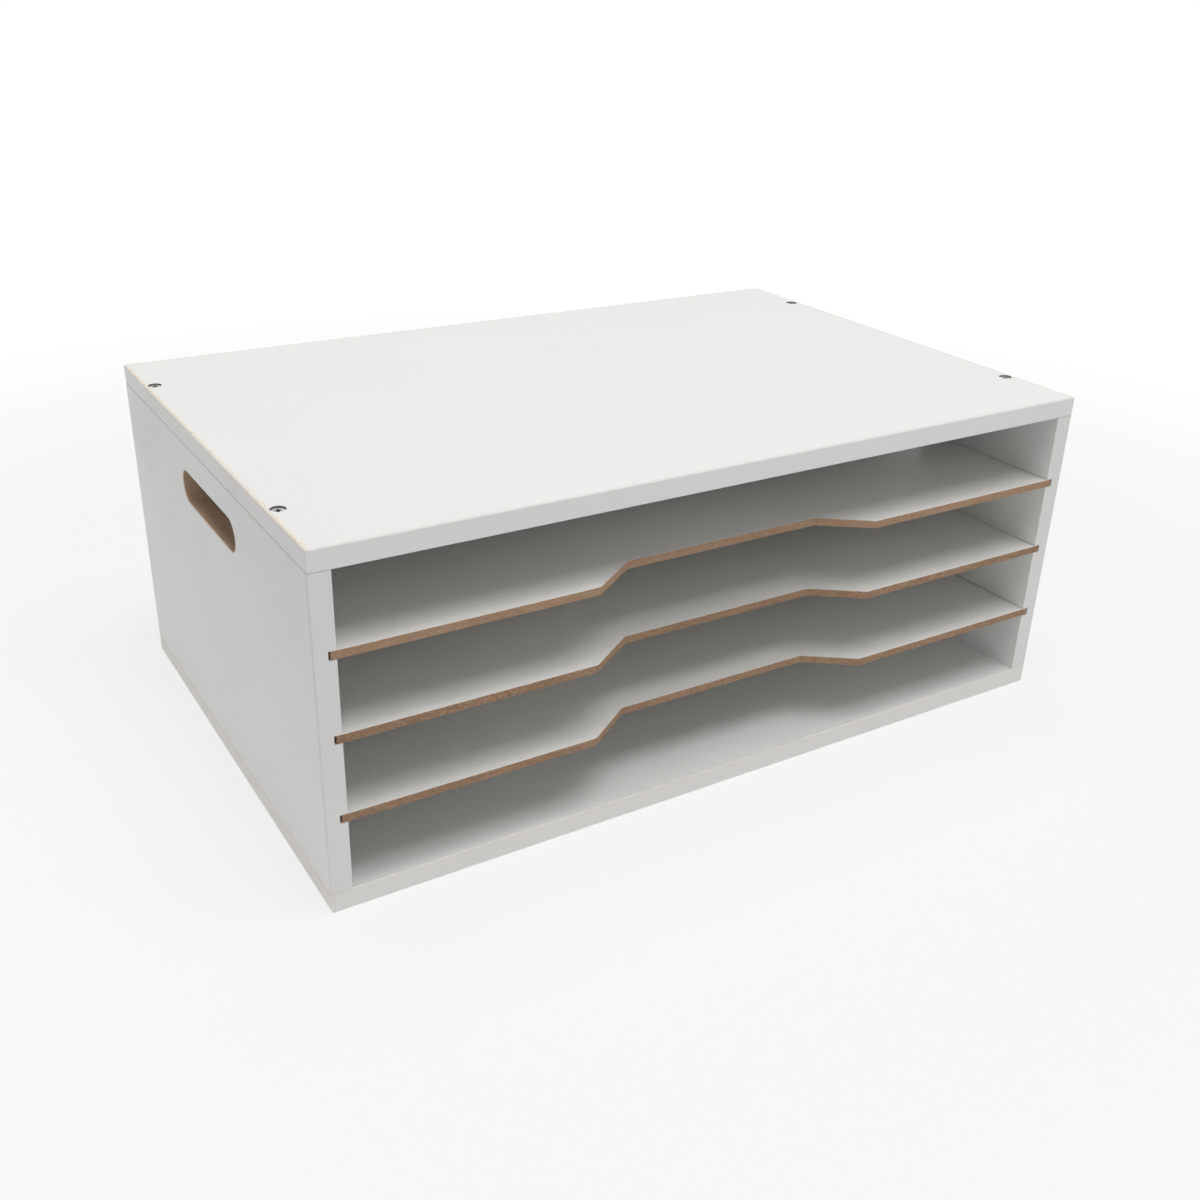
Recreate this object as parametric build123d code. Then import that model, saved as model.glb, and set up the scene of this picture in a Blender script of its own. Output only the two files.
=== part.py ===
from build123d import *

import os

# Literature organizer: a white laminated-board box, open at the front, with three thin shelves
# that slide in grooves in the side panels. Millimetres, X to the right, Y to the back, Z up,
# origin at the middle of the footprint on the surface that the organizer stands on.

# Overall size, edging strips included
WIDTH = 508.0
DEPTH = 330.2
HEIGHT = 205.7

# Boards of the carcass and the strips glued on their edges
PANEL_THICKNESS = 12.0
BAND_THICKNESS = 1.5
BAND_ROUNDING = 0.8

# Shelves, from the lowest to the highest, and the grooves that they slide in
SHELF_NAMES = ("shelf_lower", "shelf_middle", "shelf_upper")
SHELF_THICKNESS = 4.7
SHELF_GROOVE_DEPTH = 4.5
SHELF_SEAT_GAP = 0.1
SHELF_HEADROOM = 0.2
SHELF_END_GAP = 1.2
SHELF_REAR_GAP = 1.0

# Finger cut-out in the front edge of a shelf
FINGER_FRONT_WIDTH = 192.0
FINGER_REAR_WIDTH = 132.0
FINGER_DEPTH = 21.0
FINGER_CORNER_RADIUS = 3.0

# Back panel, held in grooves in all four boards round it
BACK_THICKNESS = 4.5
BACK_GROOVE_DEPTH = 4.5
BACK_INSET = 8.0
BACK_FACE_GAP = 0.1
BACK_EDGE_GAP = 0.5

# Hand hole through each side panel
HAND_HOLE_LENGTH = 97.0
HAND_HOLE_HEIGHT = 19.4
HAND_HOLE_FROM_FRONT = 161.0
HAND_HOLE_FROM_TOP = 38.6
HAND_HOLE_BEVEL = 0.5

# Flat-head screws, sunk below the face of the top and bottom panels
SCREW_LENGTH = 40.0
SCREW_HEAD_DIAMETER = 8.0
SCREW_HEAD_LAND = 0.4
SCREW_SHANK_DIAMETER = 4.0
SCREW_POINT_LENGTH = 5.0
SCREW_SINK = 0.9
SCREW_FROM_EDGE = 53.0
SCREW_CLEARANCE = 0.1
SCREW_TIP_GAP = 1.0

# Cross recess in a screw's head
RECESS_SPAN = 4.6
RECESS_ARM_WIDTH = 1.1
RECESS_DEPTH = 2.2
RECESS_TAPER = 9.0

# Dowels that line the boards up, one beside each screw
DOWEL_DIAMETER = 6.0
DOWEL_LENGTH = 20.0
DOWEL_IN_PANEL = 7.0
DOWEL_FROM_SCREW = 32.0
DOWEL_CHAMFER = 0.8
DOWEL_CLEARANCE = 0.05
DOWEL_END_GAP = 0.7

half_width = WIDTH / 2
half_depth = DEPTH / 2
inner_half_width = half_width - PANEL_THICKNESS
side_foot = PANEL_THICKNESS
side_head = HEIGHT - PANEL_THICKNESS
band_rounding = min(BAND_ROUNDING, 0.45 * PANEL_THICKNESS, 0.9 * BAND_THICKNESS)

# Cutting shapes run this far past the faces that they open through
overcut = PANEL_THICKNESS

# Equal compartments between the bottom panel, the shelves and the top panel
shelf_count = len(SHELF_NAMES)
compartment_height = (side_head - side_foot - shelf_count * SHELF_THICKNESS) / (shelf_count + 1)
shelf_pitch = compartment_height + SHELF_THICKNESS
shelf_undersides = [side_foot + compartment_height + i * shelf_pitch for i in range(shelf_count)]

# The groove of the back panel, from its rear wall to its front wall
back_groove_rear = half_depth - BACK_INSET
back_rear = back_groove_rear - BACK_FACE_GAP
back_front = back_rear - BACK_THICKNESS
back_groove_front = back_front - BACK_FACE_GAP

# Screws and dowels stand in the middle of the side panels' thickness
fastener_x = half_width - PANEL_THICKNESS / 2
screw_y = half_depth - SCREW_FROM_EDGE
dowel_y = screw_y - DOWEL_FROM_SCREW


def block(x0, x1, y0, y1, z0, z1):
    """A box between two corners, given in any order."""
    middle = Pos((x0 + x1) / 2, (y0 + y1) / 2, (z0 + z1) / 2)
    return middle * Box(abs(x1 - x0), abs(y1 - y0), abs(z1 - z0))


def turned(points):
    """A solid turned about Z from points that give its radius and height."""
    return revolve(Plane.XZ * make_face(Polyline(*points, close=True)), Axis.Z)


def screw():
    """A flat-head screw that points down, with the face of its head at the origin."""
    head = SCREW_HEAD_DIAMETER / 2
    shank = SCREW_SHANK_DIAMETER / 2
    cone_foot = -SCREW_HEAD_LAND - (head - shank)
    body = turned([
        (0, 0),
        (head, 0),
        (head, -SCREW_HEAD_LAND),
        (shank, cone_foot),
        (shank, SCREW_POINT_LENGTH - SCREW_LENGTH),
        (0, -SCREW_LENGTH),
    ])
    cross = Rectangle(RECESS_SPAN, RECESS_ARM_WIDTH) + Rectangle(RECESS_ARM_WIDTH, RECESS_SPAN)
    return body - extrude(cross, RECESS_DEPTH, dir=(0, 0, -1), taper=RECESS_TAPER)


def screw_hole():
    """The counterbore, countersink and hole for a screw, below a face at the origin."""
    head = SCREW_HEAD_DIAMETER / 2 + SCREW_CLEARANCE
    shank = SCREW_SHANK_DIAMETER / 2 + SCREW_CLEARANCE
    cone_head = -SCREW_SINK - SCREW_HEAD_LAND
    return turned([
        (0, overcut),
        (head, overcut),
        (head, cone_head),
        (shank, cone_head - (head - shank)),
        (shank, -SCREW_SINK - SCREW_LENGTH - SCREW_TIP_GAP),
        (0, -SCREW_SINK - SCREW_LENGTH - SCREW_TIP_GAP),
    ])


def dowel():
    """A dowel that stands on end, with chamfered ends and the joint's plane at the origin."""
    peg = Pos(0, 0, DOWEL_IN_PANEL - DOWEL_LENGTH / 2) * Cylinder(DOWEL_DIAMETER / 2, DOWEL_LENGTH)
    return chamfer(peg.edges().filter_by(GeomType.CIRCLE), DOWEL_CHAMFER)


def dowel_hole():
    """The two blind holes that a dowel stands in, as one cutting shape."""
    length = DOWEL_LENGTH + 2 * DOWEL_END_GAP
    bore = Cylinder(DOWEL_DIAMETER / 2 + DOWEL_CLEARANCE, length)
    return Pos(0, 0, DOWEL_IN_PANEL - DOWEL_LENGTH / 2) * bore


def at_joint(shape, y, face_z, upright):
    """Copies of a shape over both side panels, front and rear, turned over for the bottom panel."""
    turn = Rot(0, 0, 0) if upright else Rot(180, 0, 0)
    places = [(sx * fastener_x, sy * y) for sx in (-1, 1) for sy in (-1, 1)]
    return [Pos(px, py, face_z) * turn * shape for px, py in places]


screws = {
    "top": at_joint(screw(), screw_y, HEIGHT - SCREW_SINK, True),
    "bottom": at_joint(screw(), screw_y, SCREW_SINK, False),
}
screw_holes = {
    "top": at_joint(screw_hole(), screw_y, HEIGHT, True),
    "bottom": at_joint(screw_hole(), screw_y, 0, False),
}
dowels = {
    "top": at_joint(dowel(), dowel_y, side_head, True),
    "bottom": at_joint(dowel(), dowel_y, side_foot, False),
}
dowel_holes = {
    "top": at_joint(dowel_hole(), dowel_y, side_head, True),
    "bottom": at_joint(dowel_hole(), dowel_y, side_foot, False),
}


def flat_panel(level):
    """The top or bottom board and the four strips of edging round it."""
    floor = side_head if level == "top" else 0
    roof = floor + PANEL_THICKNESS
    core_x = half_width - BAND_THICKNESS
    core_y = half_depth - BAND_THICKNESS
    blank = block(-half_width, half_width, -half_depth, half_depth, floor, roof)
    blank = fillet(blank.edges(), band_rounding)
    blank -= screw_holes[level] + dowel_holes[level]
    groove_z = side_head + BACK_GROOVE_DEPTH if level == "top" else side_foot - BACK_GROOVE_DEPTH
    open_z = side_head - overcut if level == "top" else side_foot + overcut
    groove = block(-core_x, core_x, back_groove_front, back_groove_rear, open_z, groove_z)
    core = block(-core_x, core_x, -core_y, core_y, floor, roof) - groove
    return {
        f"{level}_panel": blank & core,
        f"{level}_band_left": blank & block(-half_width, -core_x, -half_depth, half_depth, floor, roof),
        f"{level}_band_right": blank & block(core_x, half_width, -half_depth, half_depth, floor, roof),
        f"{level}_band_front": blank & block(-core_x, core_x, -half_depth, -core_y, floor, roof),
        f"{level}_band_rear": blank & block(-core_x, core_x, core_y, half_depth, floor, roof),
    }


def hand_hole(outer, inner):
    """A slot with round ends through a side panel, bevelled where it meets both faces."""
    centre_y = HAND_HOLE_FROM_FRONT - half_depth
    centre_z = HEIGHT - HAND_HOLE_FROM_TOP
    low, high = min(outer, inner), max(outer, inner)
    slot = SlotOverall(HAND_HOLE_LENGTH, HAND_HOLE_HEIGHT)
    wide_slot = SlotOverall(HAND_HOLE_LENGTH + 2 * HAND_HOLE_BEVEL, HAND_HOLE_HEIGHT + 2 * HAND_HOLE_BEVEL)
    into_panel = Plane((low, centre_y, centre_z), x_dir=(0, 1, 0), z_dir=(1, 0, 0))
    out_of_panel = Plane((high, centre_y, centre_z), x_dir=(0, 1, 0), z_dir=(-1, 0, 0))
    through = extrude(into_panel.offset(-overcut) * slot, PANEL_THICKNESS + 2 * overcut)
    bevels = [extrude(plane * wide_slot, HAND_HOLE_BEVEL, taper=45) for plane in (into_panel, out_of_panel)]
    return [through] + bevels


def side_panel(name, side):
    """A side board, on the left for side -1 or the right for 1, and its front and rear strips."""
    outer = side * half_width
    inner = side * inner_half_width
    core_y = half_depth - BAND_THICKNESS
    blank = block(outer, inner, -half_depth, half_depth, side_foot, side_head)
    blank = fillet(blank.edges().filter_by(Axis.Z), band_rounding)
    mouth = inner - side * overcut
    floor = inner + side * SHELF_GROOVE_DEPTH
    front, rear = -half_depth - overcut, half_depth + overcut
    cuts = [
        block(mouth, floor, front, rear, low - SHELF_SEAT_GAP, low + SHELF_THICKNESS + SHELF_HEADROOM)
        for low in shelf_undersides
    ]
    back_floor = inner + side * BACK_GROOVE_DEPTH
    below, above = side_foot - overcut, side_head + overcut
    cuts.append(block(mouth, back_floor, back_groove_front, back_groove_rear, below, above))
    cuts += hand_hole(outer, inner)
    for level in ("top", "bottom"):
        cuts += screw_holes[level] + dowel_holes[level]
    blank -= cuts
    return {
        f"{name}_side_panel": blank & block(outer, inner, -core_y, core_y, side_foot, side_head),
        f"{name}_side_band_front": blank & block(outer, inner, -half_depth, -core_y, side_foot, side_head),
        f"{name}_side_band_rear": blank & block(outer, inner, core_y, half_depth, side_foot, side_head),
    }


def back_panel():
    """The thin board that closes the back, with its edges in the grooves round it."""
    reach = BACK_GROOVE_DEPTH - BACK_EDGE_GAP
    half = inner_half_width + reach
    return block(-half, half, back_front, back_rear, side_foot - reach, side_head + reach)


def shelf(underside):
    """A thin board with a finger cut-out in its front edge, in its grooves and flush at the front."""
    half = inner_half_width + SHELF_GROOVE_DEPTH - SHELF_END_GAP
    rear = back_groove_front - SHELF_REAR_GAP
    outline = Pos(0, (rear - half_depth) / 2) * Rectangle(2 * half, rear + half_depth)
    cut_front = -half_depth - overcut
    flare = overcut * (FINGER_FRONT_WIDTH - FINGER_REAR_WIDTH) / 2 / FINGER_DEPTH
    cut_out = make_face(Polyline(
        (-FINGER_FRONT_WIDTH / 2 - flare, cut_front),
        (FINGER_FRONT_WIDTH / 2 + flare, cut_front),
        (FINGER_REAR_WIDTH / 2, FINGER_DEPTH - half_depth),
        (-FINGER_REAR_WIDTH / 2, FINGER_DEPTH - half_depth),
        close=True,
    ))
    outline -= cut_out
    beside_cut_out = (half + FINGER_FRONT_WIDTH / 2) / 2
    corners = outline.vertices().filter_by_position(Axis.X, -beside_cut_out, beside_cut_out)
    outline = fillet(corners, FINGER_CORNER_RADIUS)
    return Pos(0, 0, underside) * extrude(outline, SHELF_THICKNESS)


nodes = {**flat_panel("top"), **flat_panel("bottom"), **side_panel("left", -1), **side_panel("right", 1)}
nodes["back_panel"] = back_panel()
for shelf_name, shelf_underside in zip(SHELF_NAMES, shelf_undersides):
    nodes[shelf_name] = shelf(shelf_underside)
for joint_level in ("top", "bottom"):
    nodes[f"{joint_level}_screws"] = Compound(children=screws[joint_level])
    nodes[f"{joint_level}_dowels"] = Compound(children=dowels[joint_level])

os.makedirs("parts", exist_ok=True)
for node_name, node in nodes.items():
    export_step(node, f"parts/{node_name}.step")
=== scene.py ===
"""Looks of a literature organizer: a white board box with three thin shelves that slide out.

The script dresses the packed frame. Metres, X to the right, Y to the back, Z up.
"""

import math

import bmesh
import bpy
from bpy.props import FloatProperty, FloatVectorProperty, IntProperty, PointerProperty
from mathutils import Matrix, Vector


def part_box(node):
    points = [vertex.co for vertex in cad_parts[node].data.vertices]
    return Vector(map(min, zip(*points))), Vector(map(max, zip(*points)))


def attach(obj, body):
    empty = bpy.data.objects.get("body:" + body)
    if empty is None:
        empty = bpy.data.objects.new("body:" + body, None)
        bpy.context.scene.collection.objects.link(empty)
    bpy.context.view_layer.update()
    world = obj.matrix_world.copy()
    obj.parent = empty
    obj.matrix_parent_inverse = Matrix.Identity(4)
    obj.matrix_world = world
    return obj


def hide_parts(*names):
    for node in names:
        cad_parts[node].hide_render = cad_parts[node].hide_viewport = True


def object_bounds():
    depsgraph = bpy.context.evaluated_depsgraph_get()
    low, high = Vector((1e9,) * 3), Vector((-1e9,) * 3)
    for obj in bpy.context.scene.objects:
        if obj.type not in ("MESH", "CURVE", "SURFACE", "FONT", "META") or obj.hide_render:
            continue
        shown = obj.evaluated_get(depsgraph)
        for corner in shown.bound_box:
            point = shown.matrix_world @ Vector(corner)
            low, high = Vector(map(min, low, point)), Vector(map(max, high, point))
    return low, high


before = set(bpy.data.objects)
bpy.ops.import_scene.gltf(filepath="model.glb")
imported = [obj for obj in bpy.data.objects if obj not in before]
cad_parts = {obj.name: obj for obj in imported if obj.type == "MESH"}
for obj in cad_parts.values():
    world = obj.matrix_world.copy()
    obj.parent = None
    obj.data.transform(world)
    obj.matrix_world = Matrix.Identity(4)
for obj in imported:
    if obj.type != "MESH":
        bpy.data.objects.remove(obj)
cad_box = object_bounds()

bl_info = {
    "name": "Literature organizer looks",
    "version": (1, 0, 0),
    "blender": (4, 5, 0),
    "location": "View3D > Sidebar > Organizer",
    "description": "Finishes, fasteners and studio of a board organizer with three sliding shelves",
    "category": "Object",
}

MM = 0.001
X, Y, Z = range(3)
CARCASS = "carcass"
FLAT_PANELS = ("top_panel", "bottom_panel")
SIDE_PANELS = ("left_side_panel", "right_side_panel")
# The three shelves, and how dark the fibre of each one's sawn edge is.
SHELVES = {"upper": 0.4, "middle": 1.0, "lower": 0.9}
LEVELS = ("top", "bottom")
# Each edge of a panel: the axis and the way that it faces, and how much its strip's trimmed edge
# shows cream.
EDGES = {"left": (X, -1, 0.92), "right": (X, 1, 0.8), "front": (Y, -1, 0.2), "rear": (Y, 1, 0.85)}
# The panels with strips, and the cream on a strip's outer face: the share at its upper edge, the
# share below, and how many times the blush it spreads.
FACE_CREAM = {
    "top": (0.4, 0.0, 1.0), "bottom": (1.0, 0.25, 1.9),
    "left_side": (0.4, 0.0, 1.0), "right_side": (0.4, 0.0, 1.0),
}
# Where the edge trimmer has grazed the faces: axis, lower (0) or upper (1) side of the box, and
# share of cream.
FLAT_GRAZES = ((X, 0, 0.6), (X, 1, 0.45), (Y, 1, 0.6))
SIDE_GRAZES = ((Y, 0, 0.15),)
# How dark the fibre is on a sawn edge, and on one that the router has smoothed; the second is paler
# partly as painted light.
SAWN_DARKNESS = 0.85
ROUTED_PAINTED_LIGHT_DARKNESS = 0.3
# Nearly all values of a noise lie between these.
SPREAD = (0.3, 0.7)

# A point this close to a plane lies on it, and one this close to a bore is on its wall.
TOUCH = 0.01 * MM
BORE_MARGIN = 0.5 * MM
# Corners this close are one: on a board, and where a turned surface meets itself.
BOARD_WELD = 0.001 * MM
TURNED_WELD = 0.002 * MM
# Triangles of a board that turn by less than the first angle make one face, and its edges that turn
# by more than the second are eased.
FLAT_ANGLE = math.radians(0.5)
CUT_ANGLE = math.radians(60)
# Edges that turn by more than these are shaded crisp.
BOARD_CRISP = math.radians(32)
SCREW_CRISP = math.radians(40)
DOWEL_CRISP = math.radians(35)
# How much of a face's normal lies along the board's thickness: above the first it is the laminate,
# and between the two an eased edge.
SQUARE_ON = 0.99
EDGE_ON = 0.3
# The finishes of a board, in the order of its slots.
LAMINATE, RAW, EASED, SHADED_BORE = range(4)

# Sides of a screw, rows of its head and of its shank, and sides of its round pocket.
SCREW_SIDES = 32
HEAD_ROWS = 7
SHANK_ROWS = 150
POCKET_SIDES = 20
# How steeply the thread's ridge rises across its pitch, and the length over which it starts.
RIDGE_SLOPE = 3.2
THREAD_START = 1.2 * MM
# A recess narrows to this share of its width over this depth.
RECESS_FOOT = 0.55
RECESS_TAPER = 1.0 * MM
# Sides and rows of a dowel, and the power that widens its flutes.
DOWEL_SIDES = 96
DOWEL_ROWS = 8
FLUTE_POWER = 0.7

# How far the floor goes each way from the middle.
FLOOR_REACH = 12.0
# Distances from the middle between which the floor's shadow fades to plain white.
SHADOW_REACH = (0.35, 1.1)
# The floor sends light back like a table that ends on the left, where that light falls off between
# these places.
TABLE_END = (-0.85, -0.45)
# Lamps of the studio: where each stands, and the width and height of its panel.
LAMPS = {
    "key": ((0.15, -0.75, 2.3), (2.0, 1.15)),
    "top": ((0.0, 0.2, 2.4), (1.6, 1.6)),
    "front_fill": ((0.2, -2.6, 0.3), (0.6, 0.6)),
    "left_fill": ((-2.2, -0.3, 0.25), (0.5, 0.5)),
    "left_high": ((-1.6, -0.2, 1.5), (1.0, 1.0)),
}


def srgb(red, green, blue):
    """Linear colour of the red, green and blue that a screen shows, each from 0 to 255."""
    def linear(level):
        share = level / 255
        return share / 12.92 if share <= 0.04045 else ((share + 0.055) / 1.055) ** 2.4
    return tuple(linear(level) for level in (red, green, blue))


def colour_property(name, description, red, green, blue):
    """A colour that a user picks, with its default given from 0 to 255."""
    return FloatVectorProperty(
        name=name, description=description, default=srgb(red, green, blue),
        size=3, min=0, max=1, subtype="COLOR",
    )


def length_property(name, description, millimetres):
    """A length that a user sets, with its default given in millimetres."""
    return FloatProperty(
        name=name, description=description, default=millimetres * MM,
        min=0, precision=5, unit="LENGTH",
    )


def lamp_property(name, description, watts):
    """The power of a lamp."""
    return FloatProperty(name=name, description=description, default=watts, min=0, unit="POWER")


class OrganizerBoards(bpy.types.PropertyGroup):
    """Finish of the laminated boards and their raw edges."""

    white: colour_property("White", "Laminated faces of the 12 mm boards", 241, 241, 239)
    thin_white: colour_property("Thin white", "Faces of the shelves and the back", 239, 238, 234)
    raw: colour_property("Raw edge", "Sawn fibreboard of all boards but the side panels", 184, 156, 129)
    raw_dark: colour_property("Raw edge, dark", "Dark fibres in the sawn edges", 138, 111, 88)
    raw_warm: colour_property("Raw edge, warm", "Reddish patches in the sawn edges", 186, 148, 122)
    # Partly painted light: this paler tone is the router's smoother fibre and also stands in for light,
    # brightening the hand holes and other cuts in the side panels.
    routed_painted_light: colour_property("Routed edge", "Smoothed fibreboard in the side panels", 208, 180, 155)
    # This colour is painted shade: the counterbore's wall is drawn darker and greyer than the raw fibre,
    # as it lies in shadow.
    shaded_bore_wall: colour_property("Bored wall", "Wall that a counterbore's cutter burnished", 146, 140, 132)
    arris: colour_property("Arris", "Paper of the laminate where an edge is eased", 226, 210, 192)
    skin: colour_property("Skin", "Laminate's edge where a side panel ends at a joint", 232, 226, 212)
    skin_depth: length_property("Skin depth", "How far in from the face the laminate's edge shows", 1.0)
    graze: length_property("Graze", "How far the edge trimmer has grazed the faces of a panel", 2.2)
    easing: length_property("Easing", "Width of the eased arris along a cut", 0.15)


class OrganizerEdging(bpy.types.PropertyGroup):
    """Finish of the strips that cover the edges of the 12 mm boards."""

    white: colour_property("White", "Face of the strip", 244, 243, 240)
    # The side panels' strips are drawn darker than the others by this share: painted shade on the same
    # white strip.
    side_strip_shade: FloatProperty(
        name="Side strips",
        description="Whiteness of the side panels' strips beside that of the others",
        default=0.955, min=0, max=1,
    )
    cream: colour_property("Cream", "Core of the strip where its edge is trimmed", 239, 231, 215)
    peach: colour_property("Peach", "Warmer patches of the trimmed edge", 239, 226, 212)
    glue: colour_property("Glue line", "Seam between a strip and its board", 190, 184, 172)
    chip: colour_property("Chip", "Bare fibre where the strip has chipped", 196, 166, 138)
    fade: length_property("Fade", "Distance over which the trimmed edge turns cream", 0.4)
    blush: length_property("Blush", "How far the cream spreads over the face of the strip", 2.2)


class OrganizerScrews(bpy.types.PropertyGroup):
    """Sizes and finish of the flat-head screws."""

    head_diameter: length_property("Head diameter", "Across the head", 8)
    head_land: length_property("Head land", "Height of the rim above the cone", 0.4)
    rim_rounding: length_property("Rim rounding", "Rounding of the rim's upper edge", 0.15)
    thread_diameter: length_property("Thread diameter", "Across the crests of the thread", 4)
    core_diameter: length_property("Core diameter", "Across the bottom of the thread", 2.8)
    length: length_property("Length", "From the face of the head to the point", 40)
    point_length: length_property("Point length", "Length of the tapered point", 5)
    neck_length: length_property("Neck length", "Plain length under the head", 9)
    pitch: length_property("Pitch", "Advance of the thread in one turn", 1.8)
    recess_span: length_property("Recess span", "Across the cross recess", 5.0)
    recess_arm: length_property("Recess arm", "Width of one arm of the recess", 1.5)
    recess_core: length_property("Recess core", "Across the round pocket in its middle", 3.2)
    recess_depth: length_property("Recess depth", "Depth of the recess", 1.7)
    zinc: colour_property("Zinc", "Plating of the screws", 236, 237, 238)
    # This zinc is painted shade: the plating inside the recess is drawn dark, as it lies in shadow.
    recess_shade_zinc: colour_property("Recess zinc", "Dull plating inside the recess", 94, 94, 96)


class OrganizerDowels(bpy.types.PropertyGroup):
    """Sizes and finish of the fluted dowels."""

    diameter: length_property("Diameter", "Across the ribs", 6)
    length: length_property("Length", "From end to end", 20)
    chamfer: length_property("Chamfer", "Chamfer at both ends", 0.8)
    flute_depth: length_property("Flute depth", "Depth of a flute between two ribs", 0.25)
    flutes: IntProperty(name="Flutes", description="Flutes round a dowel", default=16, min=6, max=40)
    beech: colour_property("Beech", "Wood of the dowels", 214, 176, 132)
    fleck: colour_property("Fleck", "Dark flecks in the wood", 158, 112, 74)


class OrganizerStudio(bpy.types.PropertyGroup):
    """Camera, lamps and floor."""

    lens: FloatProperty(name="Lens", description="Focal length", default=39.695, min=1, unit="CAMERA")
    place: FloatVectorProperty(
        name="Camera place", description="Where the camera stands",
        default=(-0.4292, -0.6950, 0.4515), size=3, subtype="TRANSLATION", unit="LENGTH",
    )
    aim: FloatVectorProperty(
        name="Camera aim", description="Point that the camera looks at",
        default=(-0.0234, -0.0488, 0.0770), size=3, subtype="TRANSLATION", unit="LENGTH",
    )
    roll: FloatProperty(
        name="Camera roll", description="Turn of the camera about its own line of sight",
        default=math.radians(1.71), subtype="ANGLE", unit="ROTATION",
    )
    sky: FloatProperty(name="Sky", description="Light from all round", default=0.173, min=0)
    key: lamp_property("Key lamp", "Soft lamp overhead, towards the front", 24.5)
    top: lamp_property("Top lamp", "Wide lamp overhead", 17.2)
    front_fill: lamp_property("Front fill", "Low lamp before the object", 5.0)
    left_fill: lamp_property("Left fill", "Low lamp on the left", 2.7)
    left_high: lamp_property("Left lamp", "Soft lamp high on the left", 3.0)
    floor_share: FloatProperty(
        name="Floor light", description="Share of the light that the floor sends back",
        default=0.93, min=0, max=1,
    )
    far_share: FloatProperty(
        name="Far floor light",
        description="Share of the light that the floor sends back past the table's end",
        default=0.3, min=0, max=1,
    )
    shadow_share: FloatProperty(
        name="Shadow", description="How much of the object's shadow the pale floor shows",
        default=0.3, min=0, max=1,
    )


SETTINGS = {
    "organizer_boards": OrganizerBoards,
    "organizer_edging": OrganizerEdging,
    "organizer_screws": OrganizerScrews,
    "organizer_dowels": OrganizerDowels,
    "organizer_studio": OrganizerStudio,
}


def feed(tree, socket, value):
    """Links a socket to another node's output, or sets its own value."""
    if isinstance(value, bpy.types.NodeSocket):
        tree.links.new(value, socket)
    elif socket.type == "RGBA" and len(value) == 3:
        socket.default_value = (*value, 1)
    else:
        socket.default_value = value


def add_node(tree, kind, inputs=None, **options):
    """Adds a node to a tree with its options and its inputs, named or numbered."""
    node = tree.nodes.new(kind)
    for option, value in options.items():
        setattr(node, option, value)
    for key, value in (inputs or {}).items():
        feed(tree, node.inputs[key], value)
    return node


def calc(tree, operation, *values, clamp=False):
    """Result of one step of arithmetic."""
    inputs = dict(enumerate(values))
    return add_node(tree, "ShaderNodeMath", inputs, operation=operation, use_clamp=clamp).outputs[0]


def negative(tree, value):
    """A value with its sign turned."""
    return calc(tree, "MULTIPLY", value, -1)


def gap(tree, first, second):
    """How far apart two values are."""
    return calc(tree, "ABSOLUTE", calc(tree, "SUBTRACT", first, second))


def ramp(tree, value, start, end, low=0.0, high=1.0):
    """A value that passes smoothly from low at start to high at end."""
    inputs = {"Value": value, "From Min": start, "From Max": end, "To Min": low, "To Max": high}
    node = add_node(tree, "ShaderNodeMapRange", inputs, interpolation_type="SMOOTHSTEP")
    return node.outputs["Result"]


def blend(tree, share, first, second):
    """Colour between two colours."""
    # A Mix node takes its share in socket 0 and its two colours in 6 and 7, and gives one out in 2.
    inputs = {0: share, 6: first, 7: second}
    return add_node(tree, "ShaderNodeMix", inputs, data_type="RGBA").outputs[2]


def noise(tree, place, size, detail=2.0, roughness=0.5, distortion=0.0):
    """Soft random value from 0 to 1 whose blots are about as large as size."""
    inputs = {
        "Vector": place, "Scale": 1 / size, "Detail": detail,
        "Roughness": roughness, "Distortion": distortion,
    }
    return add_node(tree, "ShaderNodeTexNoise", inputs).outputs[0]


def new_finish(name):
    """An empty material with its shader, its object coordinates and the object's own normal."""
    material = bpy.data.materials.new(name)
    material.use_nodes = True
    tree = material.node_tree
    tree.nodes.clear()
    shader = add_node(tree, "ShaderNodeBsdfPrincipled")
    add_node(tree, "ShaderNodeOutputMaterial", {"Surface": shader.outputs[0]})
    coordinates = add_node(tree, "ShaderNodeTexCoord")
    return material, tree, shader, coordinates.outputs["Object"], coordinates.outputs["Normal"]


def stretched(tree, place, scale):
    """Coordinates drawn out or pressed together along each axis."""
    return add_node(tree, "ShaderNodeMapping", {"Vector": place, "Scale": scale}).outputs[0]


def bump(tree, shader, height, distance, strength):
    """Relief of a surface, as deep as distance."""
    inputs = {"Height": height, "Distance": distance, "Strength": strength}
    feed(tree, shader.inputs["Normal"], add_node(tree, "ShaderNodeBump", inputs).outputs[0])


def part_of(tree, vector, axis):
    """One of the three parts of a vector."""
    return add_node(tree, "ShaderNodeSeparateXYZ", {0: vector}).outputs[axis]


def mottled(tree, place, size, first, second, low=0.35, high=0.65):
    """Two colours in soft patches about as large as size."""
    return blend(tree, ramp(tree, noise(tree, place, size, 3), low, high), first, second)


def scaled(colour, factor):
    """A colour made darker or lighter."""
    return tuple(factor * part for part in colour)


def dusted(tree, place, size, tone, depth):
    """A colour that fine dust dims in places, by at most depth."""
    dust = ramp(tree, noise(tree, place, size, 2, 0.6), *SPREAD, 0.0, depth)
    return blend(tree, dust, tone, (0.0, 0.0, 0.0))


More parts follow.
